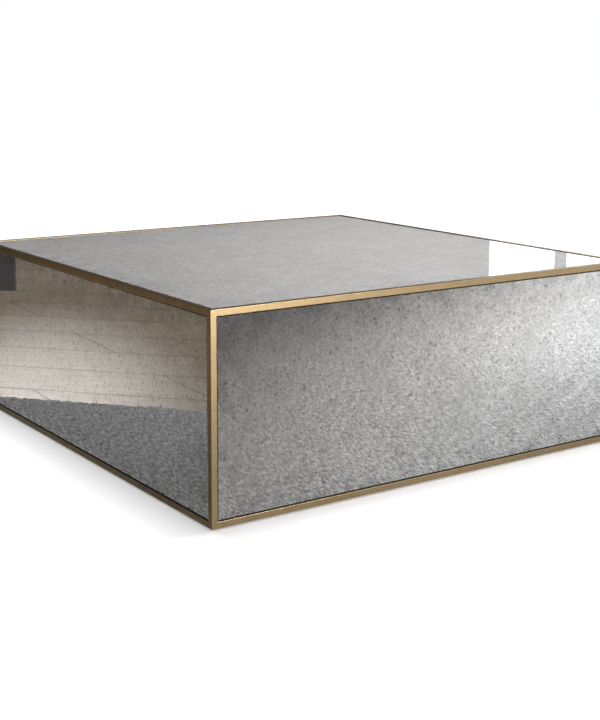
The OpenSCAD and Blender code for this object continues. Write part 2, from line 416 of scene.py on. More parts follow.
class Finish(ABC):
    """What one material slot looks like."""

    slot: ClassVar[Slot]

    @abstractmethod
    def paint(self, graph: Graph, place: Socket) -> dict[str, Value]:
        """Adds the finish's nodes.

        Args:
            graph: The material's graph.
            place: Object coordinates.

        Returns:
            The inputs of the Principled shader.
        """

    @functools.cache
    def material(self) -> Material:
        """The finish as a material, made once."""
        material = bpy.data.materials.new(self.slot.value)
        material.use_nodes = True
        material.node_tree.nodes.clear()
        graph = Graph(material.node_tree)
        inputs = self.paint(graph, graph.place())
        shader = graph.node("BsdfPrincipled", inputs)
        graph.node("OutputMaterial", {"Surface": shader.outputs[0]})
        return material


@dataclass(frozen=True)
class AntiqueBrass(Finish):
    """Brass bar, brushed along its run and patinated brown, with bright worn arrises."""

    slot: ClassVar[Slot] = Slot.BRASS
    bright: Colour = (0.375, 0.280, 0.160)
    warm: Colour = (0.305, 0.222, 0.120)
    brown: Colour = (0.13, 0.086, 0.045)
    worn: Colour = (0.44, 0.350, 0.230)
    patch: float = 0.045
    line: float = 0.0006

    def paint(self, graph: Graph, place: Socket) -> dict[str, Value]:
        """Patches of warm and brown over the bright metal, lines along the run, and wear on the arrises."""
        run = graph.attribute("run", "Vector")
        lines = brushed(graph, place, run, size=self.line, stretch=60.0)
        streaks = brushed(graph, place, run, size=0.006, stretch=14.0)
        tone = mottled(graph, place, size=self.patch, low=0.38, high=0.62)
        stain = mottled(graph, place, size=0.016, low=0.56, high=0.78)
        spots = speckled(graph, place, spacing=0.012, radius=0.35, empty=0.6)
        age = graph.total((tone, 0.45), (streaks, 0.45), (lines, 0.15))
        dirt = graph.total((stain, 0.45), (spots, 0.35))
        wear = graph.product(graph.attribute("edge"), graph.ramp(streaks, 0.3, 0.6, 0.35, 0.9))
        colour = graph.mix(age, self.bright, self.warm)
        colour = graph.mix(dirt, colour, self.brown)
        colour = graph.mix(wear, colour, self.worn)
        relief = graph.total((lines, 0.7), (stain, 0.3))
        return {
            "Base Color": colour,
            "Metallic": 1.0,
            "Roughness": graph.ramp(graph.total((age, 0.5), (dirt, 0.5)), 0.0, 1.0, 0.32, 0.5),
            "Normal": graph.bump(relief, 0.25, 0.0002),
        }


@dataclass(frozen=True)
class AntiquedMirror(Finish):
    """Clear glass over a silvering that is clouded, finely pitted and foxed, most of all along its rim."""

    slot: ClassVar[Slot] = Slot.MIRROR
    silver: Colour = (0.86, 0.85, 0.83)
    haze: Colour = (0.64, 0.63, 0.61)
    tarnish: Colour = (0.15, 0.135, 0.12)
    cloud: float = 0.16
    drift: float = 0.036
    grain: float = 0.0065

    def paint(self, graph: Graph, place: Socket) -> dict[str, Value]:
        """Clouds, grain and faint level streaks that dull the silver, and foxing that darkens it."""
        clouds = mottled(graph, place, size=self.cloud, low=0.36, high=0.66)
        drifts = mottled(graph, place, size=self.drift, low=0.40, high=0.62)
        grain = mottled(graph, place, size=self.grain, low=0.36, high=0.64)
        streaks = brushed(graph, place, (0.7, 0.7, 0.0), size=0.0025, stretch=25.0)
        foxing = speckled(graph, place, spacing=0.017, radius=0.40, empty=0.2, softness=0.9)
        pits = speckled(graph, place, spacing=0.008, radius=0.42, empty=0.3, softness=0.8)
        rim = graph.product(graph.attribute("rim"), drifts)
        veil = graph.total((clouds, 0.25), (drifts, 0.35), (graph.ramp(streaks, 0.35, 0.65), 0.4))
        dark = graph.total((foxing, 0.40), (pits, 0.26), (grain, 0.34), (rim, 0.2))
        colour = graph.mix(veil, self.silver, self.haze)
        return {
            "Base Color": graph.mix(dark, colour, self.tarnish),
            "Metallic": graph.ramp(clouds, 0.0, 1.0, 0.63, 0.57),
            "Roughness": graph.ramp(graph.total((foxing, 0.7), (clouds, 0.3)), 0.0, 1.0, 0.01, 0.22),
            "Coat Weight": 1.0,
            "Coat Roughness": 0.005,
            "Coat IOR": 1.52,
            "Normal": graph.bump(drifts, 0.02, 0.0005),
        }


@dataclass(frozen=True)
class FoamGasket(Finish):
    """Dark brown closed-cell foam with open pores on its cut faces."""

    slot: ClassVar[Slot] = Slot.GASKET
    dark: Colour = (0.030, 0.021, 0.015)
    light: Colour = (0.085, 0.064, 0.047)

    def paint(self, graph: Graph, place: Socket) -> dict[str, Value]:
        """Pores of about half a millimetre."""
        pores = speckled(graph, place, spacing=0.0009, radius=0.45, empty=0.2)
        dust = mottled(graph, place, size=0.02, low=0.4, high=0.75)
        return {
            "Base Color": graph.mix(graph.total((dust, 0.6), (pores, -0.5)), self.dark, self.light),
            "Roughness": 0.92,
            "Normal": graph.bump(pores, 0.5, -0.0003),
        }


@dataclass(frozen=True)
class CuredAdhesive(Finish):
    """Off-white neutral silicone, squeezed flat between glass and board."""

    slot: ClassVar[Slot] = Slot.ADHESIVE
    pale: Colour = (0.66, 0.65, 0.60)
    grey: Colour = (0.46, 0.45, 0.41)

    def paint(self, graph: Graph, place: Socket) -> dict[str, Value]:
        """A faint cloudiness, and small blisters."""
        cloud = mottled(graph, place, size=0.012, low=0.35, high=0.7)
        blisters = speckled(graph, place, spacing=0.004, radius=0.3, empty=0.6)
        return {
            "Base Color": graph.mix(cloud, self.pale, self.grey),
            "Roughness": graph.ramp(cloud, 0.0, 1.0, 0.38, 0.55),
            "Normal": graph.bump(blisters, 0.3, 0.0003),
        }


@dataclass(frozen=True)
class Fibreboard(Finish):
    """Raw fibreboard: matt tan, with short fibres and dark flecks."""

    slot: ClassVar[Slot] = Slot.FIBREBOARD
    tan: Colour = (0.50, 0.35, 0.20)
    pale: Colour = (0.62, 0.47, 0.30)
    fleck: Colour = (0.22, 0.13, 0.06)

    def paint(self, graph: Graph, place: Socket) -> dict[str, Value]:
        """Felted fibres at two sizes, and flecks of bark."""
        felt = mottled(graph, place, size=0.003, low=0.3, high=0.7)
        fibres = brushed(graph, place, (0.8, 0.6, 0.0), size=0.0012, stretch=5.0)
        sheet = mottled(graph, place, size=0.25, low=0.35, high=0.65)
        flecks = speckled(graph, place, spacing=0.005, radius=0.25, empty=0.7)
        colour = graph.mix(graph.total((felt, 0.35), (fibres, 0.4), (sheet, 0.25)), self.tan, self.pale)
        return {
            "Base Color": graph.mix(graph.total((flecks, 0.6)), colour, self.fleck),
            "Roughness": graph.ramp(felt, 0.0, 1.0, 0.78, 0.92),
            "Normal": graph.bump(graph.total((felt, 0.5), (fibres, 0.5)), 0.35, 0.0003),
        }


@dataclass(frozen=True)
class PlanedSoftwood(Finish):
    """Planed pine, its grain upright."""

    slot: ClassVar[Slot] = Slot.SOFTWOOD
    early: Colour = (0.72, 0.53, 0.31)
    late: Colour = (0.47, 0.28, 0.12)

    def paint(self, graph: Graph, place: Socket) -> dict[str, Value]:
        """Growth lines drawn out along the grain, and fine pores."""
        up = (0.0, 0.0, 1.0)
        growth = brushed(graph, place, up, size=0.006, stretch=30.0)
        pores = brushed(graph, place, up, size=0.0007, stretch=40.0)
        bands = graph.ramp(graph.maths("FRACT", graph.product(growth, 5.0)), 0.35, 0.95)
        return {
            "Base Color": graph.mix(graph.total((bands, 0.7), (pores, 0.3)), self.early, self.late),
            "Roughness": graph.ramp(pores, 0.0, 1.0, 0.55, 0.75),
            "Normal": graph.bump(graph.total((bands, 0.4), (pores, 0.6)), 0.3, 0.0003),
        }


@dataclass(frozen=True)
class ZincPlate(Finish):
    """Bright zinc on steel, faintly yellow and dulled in clouds."""

    slot: ClassVar[Slot] = Slot.ZINC
    bright: Colour = (0.62, 0.64, 0.66)
    dull: Colour = (0.44, 0.43, 0.38)
    white: Colour = (0.60, 0.60, 0.58)

    def paint(self, graph: Graph, place: Socket) -> dict[str, Value]:
        """Clouds of passivation, fine handling scratches and specks of white bloom."""
        cloud = mottled(graph, place, size=0.009, low=0.35, high=0.7)
        run = (0.6, 0.8, 0.0)
        scratches = brushed(graph, place, run, size=0.0003, stretch=25.0)
        bloom = speckled(graph, place, spacing=0.003, radius=0.3, empty=0.65)
        colour = graph.mix(cloud, self.bright, self.dull)
        return {
            "Base Color": graph.mix(graph.total((bloom, 0.35)), colour, self.white),
            "Metallic": graph.ramp(bloom, 0.0, 1.0, 1.0, 0.7),
            "Roughness": graph.ramp(graph.total((cloud, 0.5), (bloom, 0.5)), 0.0, 1.0, 0.28, 0.55),
            "Normal": graph.bump(scratches, 0.12, 0.0001),
        }


@dataclass(frozen=True)
class MouldedNylon(Finish):
    """Black nylon with the fine matt grain of its mould."""

    slot: ClassVar[Slot] = Slot.NYLON
    black: Colour = (0.018, 0.018, 0.020)
    scuffed: Colour = (0.065, 0.065, 0.068)

    def paint(self, graph: Graph, place: Socket) -> dict[str, Value]:
        """Mould grain, with scuffs that are lighter and rougher."""
        grain = speckled(graph, place, spacing=0.0006, radius=0.5, empty=0.1)
        scuffs = mottled(graph, place, size=0.007, low=0.5, high=0.75)
        return {
            "Base Color": graph.mix(scuffs, self.black, self.scuffed),
            "Roughness": graph.ramp(scuffs, 0.0, 1.0, 0.42, 0.62),
            "Normal": graph.bump(grain, 0.25, 0.0001),
        }


@dataclass(frozen=True)
class SoleRubber(Finish):
    """Charcoal rubber, dusty where it has touched the floor."""

    slot: ClassVar[Slot] = Slot.RUBBER
    charcoal: Colour = (0.030, 0.030, 0.031)
    dust: Colour = (0.16, 0.15, 0.14)

    def paint(self, graph: Graph, place: Socket) -> dict[str, Value]:
        """Dust in clouds, over a pebbled skin."""
        dust = mottled(graph, place, size=0.008, low=0.45, high=0.8)
        pebble = speckled(graph, place, spacing=0.0008, radius=0.5, empty=0.1)
        return {
            "Base Color": graph.mix(graph.total((dust, 0.6)), self.charcoal, self.dust),
            "Roughness": graph.ramp(dust, 0.0, 1.0, 0.75, 0.95),
            "Normal": graph.bump(pebble, 0.3, 0.0002),
        }


FINISHES: dict[Slot, Finish] = {finish.slot: finish for finish in (
    AntiqueBrass(), AntiquedMirror(), FoamGasket(), CuredAdhesive(), Fibreboard(), PlanedSoftwood(),
    ZincPlate(), MouldedNylon(), SoleRubber())}


# ---- Brass frame ----


@dataclass
class BrassFrame:
    """Twelve square bars along the edges of the block, welded at three-way mitres and dressed flush."""

    arris: float = 0.0008
    wear_margin: float = 0.0003
    arc_steps: int = 5
    spans: int = 10

    def outline(self, width: float) -> tuple[Array, Array]:
        """The bar's cross-section, measured inwards from its two outer faces.

        A square with quarter arcs of the arris radius. A point beside each arc's end keeps the flats flat and
        bounds the worn band.

        Args:
            width: Side of the square.

        Returns:
            Points of shape (n, 2), and for each how far it is worn, 1 on the arcs and 0 on the flats.
        """
        turn = np.linspace(0, np.pi / 2, self.arc_steps + 1)
        arc = self.arris * (1 - np.stack([np.cos(turn), np.sin(turn)], -1))
        side = self.arris + self.wear_margin
        corner = np.vstack([[[0.0, side]], arc, [[side, 0.0]]])
        half = width / 2
        rotations = [np.array(Matrix.Rotation(k * math.pi / 2, 2)) for k in range(4)]
        points = np.vstack([(corner - half) @ rotation.T for rotation in rotations]) + half
        worn = np.tile(np.concatenate([[0.0], np.ones(self.arc_steps + 1), [0.0]]), 4)
        return points, worn

    def bar(self, node: str) -> Surface:
        """One bar, from corner to corner of the frame.

        With b and c the depths below its two outer faces, the bar starts at a = max(b, c) along its run and
        ends as far short of the other corner, so that three bars share each corner of the frame.

        Args:
            node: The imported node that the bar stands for.

        Returns:
            The bar, with its run and its wear at each point.
        """
        frame_low, frame_high = node_box("post_end_plates")
        low, high = node_box(node)
        run = int(np.argmax(high - low))
        across = [axis for axis in range(3) if axis != run]
        outline, worn = self.outline(float((high - low)[across[0]]))
        depth = outline.max(1)
        length = (frame_high - frame_low)[run]
        share = np.linspace(0, 1, self.spans + 1)[:, None]
        rings = np.zeros((self.spans + 1, len(outline), 3))
        rings[..., run] = frame_low[run] + depth + share * (length - 2 * depth)
        middle = (frame_low + frame_high) / 2
        for axis, inward in zip(across, outline.T):
            at_low = (low + high)[axis] / 2 < middle[axis]
            rings[..., axis] = frame_low[axis] + inward if at_low else frame_high[axis] - inward
        surface = loft(rings)
        surface.values["edge"] = np.concatenate([np.tile(worn, self.spans + 1), [0.0, 0.0]])
        surface.values["run"] = np.tile(np.eye(3)[run], (len(surface.points), 1))
        return surface

    def build(self) -> list[Piece]:
        """Makes the four posts and the eight rails."""
        posts = [f"post_{corner.value}" for corner in Corner]
        rails = [f"{level}_rail_{face.value}" for level in ("top", "bottom")
                 for face in Face if face is not Face.TOP]
        return [add_piece(f"brass_{node}", self.bar(node), FINISHES[Slot.BRASS], "root",
                          [node, "post_end_plates"] if node in posts else [node])
                for node in posts + rails]


# ---- Mirrors ----


@dataclass
class MirrorPanels:
    """Five plates of silvered glass with polished, bevelled edges."""

    bevel: float = 0.0011
    rim_width: float = 0.11
    rim_steps: int = 5
    side_points: int = 12

    def plate(self, face: Face) -> Surface:
        """One plate: rectangles of growing and shrinking inset, stacked through its thickness.

        The rim value is the square of how far a ring lies within the rim's width of the edge, from 1 at the
        edge to 0.

        Args:
            face: The face that it covers.

        Returns:
            The plate, with its rim at each point.
        """
        low, high = node_box(f"mirror_{face.value}")
        middle, half = (low + high) / 2, (high - low) / 2
        through = int(np.argmin(half))
        flat = [axis for axis in range(3) if axis != through]
        outward = 1.0 if face is Face.TOP else float(np.sign(middle[through]))
        rims = self.bevel + np.linspace(0, self.rim_width, self.rim_steps + 1)[1:]
        inset = np.concatenate([[self.rim_width, self.bevel, 0, 0, self.bevel], rims])
        level = half[through] * np.ones(len(inset))
        level[:2] *= -1
        level[2:4] = [self.bevel - half[through], half[through] - self.bevel]
        rings = np.zeros((len(inset), 4 * self.side_points, 3))
        rings[..., through] = middle[through] + outward * level[:, None]
        for axis, side in zip(flat, self.outline().T):
            rings[..., axis] = middle[axis] + side * (half[axis] - inset[:, None])
        surface = loft(rings)
        near_edge = np.clip(1 - inset / self.rim_width, 0, 1) ** 2
        surface.values["rim"] = np.concatenate([np.repeat(near_edge, rings.shape[1]), near_edge[[0, -1]]])
        return surface

    def outline(self) -> Array:
        """The edge of a square from -1 to 1, side by side, of shape (points, 2)."""
        corners = np.array([[-1, -1], [1, -1], [1, 1], [-1, 1]], float)
        step = np.linspace(0, 1, self.side_points, endpoint=False)[None, :, None]
        return (corners[:, None] * (1 - step) + np.roll(corners, -1, 0)[:, None] * step).reshape(-1, 2)

    def build(self) -> list[Piece]:
        """Makes the five plates."""
        silver = FINISHES[Slot.MIRROR]
        return [add_piece(f"glass_{face.value}", self.plate(face), silver, "root", [f"mirror_{face.value}"],
                          smooth_below=math.radians(10))
                for face in Face]


# ---- Screw feet ----


@dataclass
class ScrewFeet:
    """Four levelling feet: a grooved rubber sole and a nylon pad that turn on a threaded steel stem."""

    pitch: float = 0.00125
    thread_crest: float = 0.00395
    thread_depth: float = 0.00065
    steps_per_pitch: int = 8
    around: int = 48
    neck_radius: float = 0.0027
    hex_low: float = 0.0095
    hex_high: float = 0.0152
    hex_flats: float = 0.013
    hex_chamfer: float = 0.0009
    tip: float = 0.001
    socket_gap: float = 0.0002
    ball_radius: float = 0.0038
    ball_height: float = 0.0065
    pad_rim: float = 0.0025
    pad_top: float = 0.0100
    shoulder: float = 0.0006
    lip: float = 0.0008
    land: float = 0.0001
    pad_edge: float = 0.0003
    sole_edge: float = 0.0004
    core: float = 0.001
    groove_border: float = 0.0012
    grooves: int = 4
    groove_depth: float = 0.0006
    rounding: float = 0.0008

    def extent(self, node: str) -> tuple[float, float, tuple[float, float], float]:
        """The lowest and highest level of a turned part, its axis in plan and its radius."""
        low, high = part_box(node)
        return low.z, high.z, ((low.x + high.x) / 2, (low.y + high.y) / 2), (high.x - low.x) / 2

    def stem(self, corner: Corner) -> Surface:
        """The stem as one surface r(t, z).

        From the bottom up the radius is that of the ball, the neck, the hexagon and the thread. The hexagon's
        radius is its flats' over the cosine of the angle from the nearest flat, cut back by a chamfer at both
        ends. The thread's radius falls from its crest by a triangle wave of z / pitch - t / (2 pi), so it
        winds right-handed.

        Args:
            corner: Which foot.

        Returns:
            The closed surface.
        """
        _, high, (x, y), _ = self.extent(f"foot_stem_{corner.value}")
        ball = self.ball_height + self.ball_radius * np.sin(np.radians(np.linspace(-88, 44, 16)))
        ball_end = self.ball_height + math.sqrt(self.ball_radius**2 - self.neck_radius**2)
        neck = np.array([ball_end, self.hex_low])
        bevel = self.hex_chamfer
        hexagon = np.array([self.hex_low, self.hex_low + bevel, self.hex_high - bevel, self.hex_high])
        thread = np.arange(self.hex_high, high - self.tip, self.pitch / self.steps_per_pitch)
        heights = np.concatenate([ball, neck, hexagon, thread, [high - self.tip, high]])
        part = np.repeat([0, 1, 2, 3, 4], [len(ball), len(neck), len(hexagon), len(thread), 2])
        turn = np.linspace(0, 2 * np.pi, self.around, endpoint=False)
        z, t = np.meshgrid(heights, turn, indexing="ij")
        sphere = np.sqrt(np.clip(self.ball_radius**2 - (z - self.ball_height) ** 2, 0, None))
        from_flat = (t % (np.pi / 3)) - np.pi / 6
        corner_radius = self.hex_flats / 2 / np.cos(from_flat)
        inward = np.minimum(z - self.hex_low, self.hex_high - z)
        chamfered = np.minimum(corner_radius, self.hex_flats / 2 + np.clip(inward, 0, None))
        wave = np.abs(2 * ((z / self.pitch - t / (2 * np.pi)) % 1) - 1)
        fade = np.clip((high - self.tip - z) / self.pitch, 0, 1)
        helix = self.thread_crest - self.thread_depth * wave * fade
        tip = self.thread_crest - self.tip * np.clip((z - high + self.tip) / self.tip, 0, 1)
        choices = [sphere, np.full_like(z, self.neck_radius), chamfered, helix, tip]
        radius = np.choose(part[:, None], choices)
        return loft(np.stack([x + radius * np.cos(t), y + radius * np.sin(t), z], -1))

    def pad(self, corner: Corner) -> Surface:
        """The pad: a dished disc turned about its axis, with a round socket for the ball."""
        low, high, axis, radius = self.extent(f"foot_pad_{corner.value}")
        arc = np.radians(np.linspace(0, 90, 6))
        r, edge, top = self.rounding, self.pad_edge, self.pad_top
        rim = np.stack([radius - r + r * np.cos(arc), low + self.pad_rim - r + r * np.sin(arc)], -1)
        shoulder = [[top + self.shoulder, high - self.shoulder], [top, high - self.land],
                    [top - self.lip, high]]
        socket = self.ball_radius + self.socket_gap
        mouth = math.asin((high - self.ball_height) / socket)
        bowl = np.linspace(mouth, -math.radians(88), 14)
        inside = np.stack([socket * np.cos(bowl), self.ball_height + socket * np.sin(bowl)], -1)
        foot = [[self.core, low], [radius - edge, low], [radius, low + edge]]
        profile = np.vstack([foot, rim, shoulder, inside])
        return lathe(profile, axis, 2 * self.around)

    def sole(self, corner: Corner) -> Surface:
        """The sole: a disc whose underside has ring grooves, cosine waves of its radius."""
        low, high, axis, radius = self.extent(f"foot_sole_{corner.value}")
        place = np.linspace(self.core, radius - self.groove_border, 12 * self.grooves + 1)
        wave = 0.5 - 0.5 * np.cos(2 * np.pi * self.grooves * (place - place[0]) / (place[-1] - place[0]))
        under = np.stack([place, low + self.groove_depth * wave], -1)
        edge = self.sole_edge
        rest = [[radius - edge, low], [radius, low + edge], [radius, high], [self.core, high]]
        return lathe(np.vstack([under, rest]), axis, 2 * self.around)

    def build(self) -> list[Piece]:
        """Makes the stem, the pad and the sole of each foot."""
        pieces = []
        for corner in Corner:
            name = corner.value
            made = (("stem", self.stem, Slot.ZINC, "stem"), ("pad", self.pad, Slot.NYLON, "pad"),
                    ("sole", self.sole, Slot.RUBBER, "pad"))
            for part, shape, slot, body in made:
                pieces.append(add_piece(f"levelling_{part}_{name}", shape(corner), FINISHES[slot],
                                        f"{body}_{name}", [f"foot_{part}_{name}"]))
        return pieces


# ---- Carcass ----


class Carcass:
    """The boards, ribs, blocks, screws, nuts, gussets, gaskets and adhesive, which keep their solids."""

    def dress(self) -> list[Piece]:
        """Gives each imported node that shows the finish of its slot, and returns the nodes."""
        dressed = []
        for part in frame["record"]["subparts"]:
            node = frame["nodes"][part["node"]]
            if node.hide_render:
                continue
            finish = FINISHES[Slot(part["material_slot"])]
            node.data.materials.clear()
            node.data.materials.append(finish.material())
            dressed.append(node)
        return dressed


# ---- Studio ----


@dataclass
class StudioCamera:
    """The camera, at standing height off the front left corner."""

    eye: Point = (-1.8777, -2.7521, 0.9236)
    heading: float = math.radians(34.701)
    pitch: float = math.radians(9.679)
    roll: float = math.radians(0.273)
    lens: float = 65.081
    shift_y: float = -0.1

    def place(self) -> None:
        """Adds the camera and makes it the one in use; it turns from +Y to +X by heading, then looks down."""
        data = bpy.data.cameras.new("studio_camera")
        data.lens, data.shift_y = self.lens, self.shift_y
        camera = bpy.data.objects.new("studio_camera", data)
        turned = (Matrix.Rotation(-self.heading, 4, "Z") @ Matrix.Rotation(math.pi / 2 - self.pitch, 4, "X")
                  @ Matrix.Rotation(self.roll, 4, "Z"))
        camera.matrix_world = Matrix.Translation(self.eye) @ turned
        bpy.context.scene.collection.objects.link(camera)
        bpy.context.scene.camera = camera


class Sees(Enum):
    """Which rays find a stage card."""

    CAMERA_AND_LIGHT = "camera"
    REFLECTIONS = "glossy"


class Falls(Enum):
    """What a light falls on: matt surfaces, or the reflections in the brass."""

    MATT = "matt"
    BRASS = "brass"


@dataclass(frozen=True)
class Softbox:
    """A rectangular soft light: where it hangs, what it faces, its size and its brightness."""

    name: str
    place: Point
    target: Point
    width: float
    height: float
    radiance: float
    falls: Falls
    colour: Colour = (1.0, 1.0, 1.0)

    def hang(self, brass: bpy.types.Collection) -> None:
        """Adds the light. Its power is radiance times pi times area.

        Args:
            brass: The brass pieces.
        """
        data = bpy.data.lights.new(self.name, "AREA")
        data.shape, data.size, data.size_y = "RECTANGLE", self.width, self.height
        data.energy = self.radiance * math.pi * self.width * self.height
        data.color = self.colour
        light = bpy.data.objects.new(self.name, data)
        light.visible_diffuse = self.falls is Falls.MATT
        light.visible_glossy = self.falls is Falls.BRASS
        if self.falls is Falls.BRASS:
            light.light_linking.receiver_collection = brass
        aim = (Vector(self.target) - Vector(self.place)).to_track_quat("-Z", "Y")
        light.matrix_world = Matrix.Translation(self.place) @ aim.to_matrix().to_4x4()
        bpy.context.scene.collection.objects.link(light)


@dataclass
class Studio:
    """A pale floor, soft lights, and what the mirrors see: a textile, boards, a dark block and a window."""

    floor_reach: float = 14.0
    weft: Point = (-0.11, 0.99, 0.0)
    lit_towards: Point = (0.587, 0.810, 0.0)
    lit_from: float = -1.75
    lit_to: float = -0.50
    lit_peak: float = 1.45
    lit_far: float = 0.25
    textile_edge: float = 0.928
    first_joint: float = 1.030
    grain: float = math.radians(42)
    board_width: float = 0.2575
    board_length: float = 1.5
    board_gap: float = 0.0035
    board_slant: float = -0.97
    pool_place: Point = (-0.60, 0.33, 0.0)
    pool_turn: float = math.radians(25)
    pool_size: Point = (0.62, 2.0, 1.0)
    block_near: tuple[float, float] = (-1.376, 2.28)
    block_far: tuple[float, float] = (-0.55, 2.82)
    block_top: float = 0.6
    wall_ahead: float = 4.0
    wall_reach: float = 3.0
    wall_top: float = 2.6
    window_from: float = 1.10
    bar_from: float = 1.47
    bar_to: float = 1.54
    softboxes: tuple[Softbox, ...] = (
        Softbox("overhead_softbox", (0.5, 0.2, 2.3), (0.5, 0.2, 0.0), 2.6, 2.0, 11.5, Falls.MATT),
        Softbox("front_softbox", (0.9, -4.3, 0.75), (-0.3, -0.6, 0.25), 2.0, 1.3, 5.0, Falls.MATT),
        Softbox("front_strip", (0.6, -3.8, 0.80), (-0.5, -0.6, 0.4), 1.6, 1.3, 19.0, Falls.BRASS,
                (1.0, 0.97, 0.92)),
    )

    def card(self, name: str, corners: list[Point], material: Material, sees: Sees) -> None:
        """Adds a flat stage card.

        Args:
            name: Its name.
            corners: Its four corners in order.
            material: What it shows.
            sees: Which rays find it.
        """
        mesh = bpy.data.meshes.new(name)
        mesh.from_pydata(corners, [], [[0, 1, 2, 3]])
        mesh.materials.append(material)
        card = bpy.data.objects.new(name, mesh)
        reflected = sees is Sees.REFLECTIONS
        card.visible_camera = not reflected
        card.visible_diffuse = False
        card.visible_shadow = not reflected
        card.visible_transmission = not reflected
        card.visible_glossy = reflected
        bpy.context.scene.collection.objects.link(card)

    def level_card(self, name: str, reach: float, height: float, material: Material,
                   sees: Sees) -> None:
        """Adds a square card that lies level, with its middle at the origin."""
        corners = [(x * reach, y * reach, height) for x, y in ((-1, -1), (1, -1), (1, 1), (-1, 1))]
        self.card(name, corners, material, sees)

    def upright_card(self, name: str, start: tuple[float, float], end: tuple[float, float], top: float,
                     material: Material) -> None:
        """Adds a card that stands between two places in plan, and that reflections find."""
        corners = [(*start, 0.0), (*end, 0.0), (*end, top), (*start, top)]
        self.card(name, corners, material, Sees.REFLECTIONS)

    def blank(self, name: str) -> tuple[Material, Graph]:
        """A new material, and its graph to fill."""
        material = bpy.data.materials.new(name)
        material.use_nodes = True
        material.node_tree.nodes.clear()
        return material, Graph(material.node_tree)

    def glow(self, graph: Graph, colour: Value) -> None:
        """Ends a card's graph: it gives off its colour and takes no light."""
        light = graph.node("Emission", {"Color": as_rgba(colour), "Strength": 1.0})
        graph.node("OutputMaterial", {"Surface": light.outputs[0]})

    def pale_floor(self) -> None:
        """The floor that is seen: part lit, so that it takes a soft shadow, and part its own white."""
        material, graph = self.blank("pale_floor")
        lit = graph.node("BsdfDiffuse", {"Color": (0.8, 0.8, 0.8, 1.0)})
        path = graph.node("LightPath", {}).outputs["Is Camera Ray"]
        glow = graph.ramp(graph.length(graph.place()), 1.2, 4.5, 0.30, 1.0)
        own = graph.node("Emission", {"Color": (1, 1, 1, 1), "Strength": graph.product(path, glow)})
        both = graph.node("AddShader", {0: lit.outputs[0], 1: own.outputs[0]})
        graph.node("OutputMaterial", {"Surface": both.outputs[0]})
        self.level_card("pale_floor", self.floor_reach, 0.0, material, Sees.CAMERA_AND_LIGHT)

    def textile(self, graph: Graph, place: Socket) -> Socket:
        """A warm grey textile, flecked, and lit more towards the rear right.

        With t going from 0 to 1 along the light, the level is its peak times t squared, and far away no less
        than a quarter. Painted shadow of the table darkens it close to it, and beside and behind it.

        Args:
            graph: The floor's graph.
            place: Object coordinates.

        Returns:
            The colour of its light.
        """
        along = graph.vector_maths("DOT_PRODUCT", place, self.lit_towards, "Value")
        span = {"Value": along, "From Min": self.lit_from, "From Max": self.lit_to}
        rise = graph.node("MapRange", span).outputs[0]
        y = graph.node("SeparateXYZ", {0: place}).outputs[1]
        outside = graph.vector_maths("ABSOLUTE", place, place)
        outside = graph.vector_maths("SUBTRACT", outside, (*CAD_BOUNDS[1][:2], 0.0))
        gap = graph.length(graph.vector_maths("MAXIMUM", outside, (0.0, 0.0, -1.0)))
        fleck = brushed(graph, place, self.weft, size=0.005, stretch=5.0, detail=3.0)
        far = graph.ramp(graph.length(place), 2.2, 5.0, 0.02, self.lit_far)
        # painted shadow of the table: the ramps on gap and y darken the textile near the table, and beside
        # and behind it
        level = graph.product(
            graph.maths("MAXIMUM", graph.product(rise, rise, self.lit_peak), far),
            graph.ramp(gap, 0.0, 1.37, 0.46, 1.0), graph.ramp(y, -0.81, -0.29, 1.0, 0.33),
            graph.ramp(fleck, 0.3, 0.7, 0.3, 1.7))
        return graph.scaled(graph.mix(rise, (1.11, 1.00, 0.91), (0.98, 1.00, 1.02)), level)

    def boards(self, graph: Graph, place: Socket, turned: Socket, across: Socket) -> Socket:
        """Pale boards with slanted ends, and a long pool of sheen on them.

        Args:
            graph: The floor's graph.
            place: Object coordinates.
            turned: The same with the boards along its first axis.
            across: How far across the boards, from their first joint.

        Returns:
            The colour of their light.
        """
        slanted = graph.vector_maths("ADD", turned, graph.scaled((self.board_slant, 0.0, 0.0), across))
        inputs = {"Vector": slanted, "Color1": (0.245, 0.188, 0.130, 1), "Color2": (0.200, 0.153, 0.105, 1),
                  "Mortar": (0.02, 0.015, 0.011, 1), "Scale": 1.0, "Mortar Size": self.board_gap,
                  "Mortar Smooth": 0.3, "Brick Width": self.board_length, "Row Height": self.board_width}
        wood = graph.node("TexBrick", inputs, offset=0.37)
        run = (math.sin(self.grain), math.cos(self.grain), 0.0)
        figure = brushed(graph, place, run, size=0.006, stretch=30.0)
        pool = graph.node("Mapping", {0: place, 1: self.pool_place, 2: (0.0, 0.0, self.pool_turn),
                                      3: self.pool_size}, vector_type="TEXTURE").outputs[0]
        sheen = graph.product(graph.ramp(graph.length(pool), 0.0, 1.0, 1.0, 0.0),
                              graph.ramp(wood.outputs["Fac"], 0.0, 1.0, 0.98, 0.5))
        lit = graph.vector_maths("ADD", wood.outputs[0], graph.scaled((1.02, 1.00, 0.98), sheen))
        return graph.scaled(lit, graph.ramp(figure, 0.3, 0.7, 0.85, 1.15))

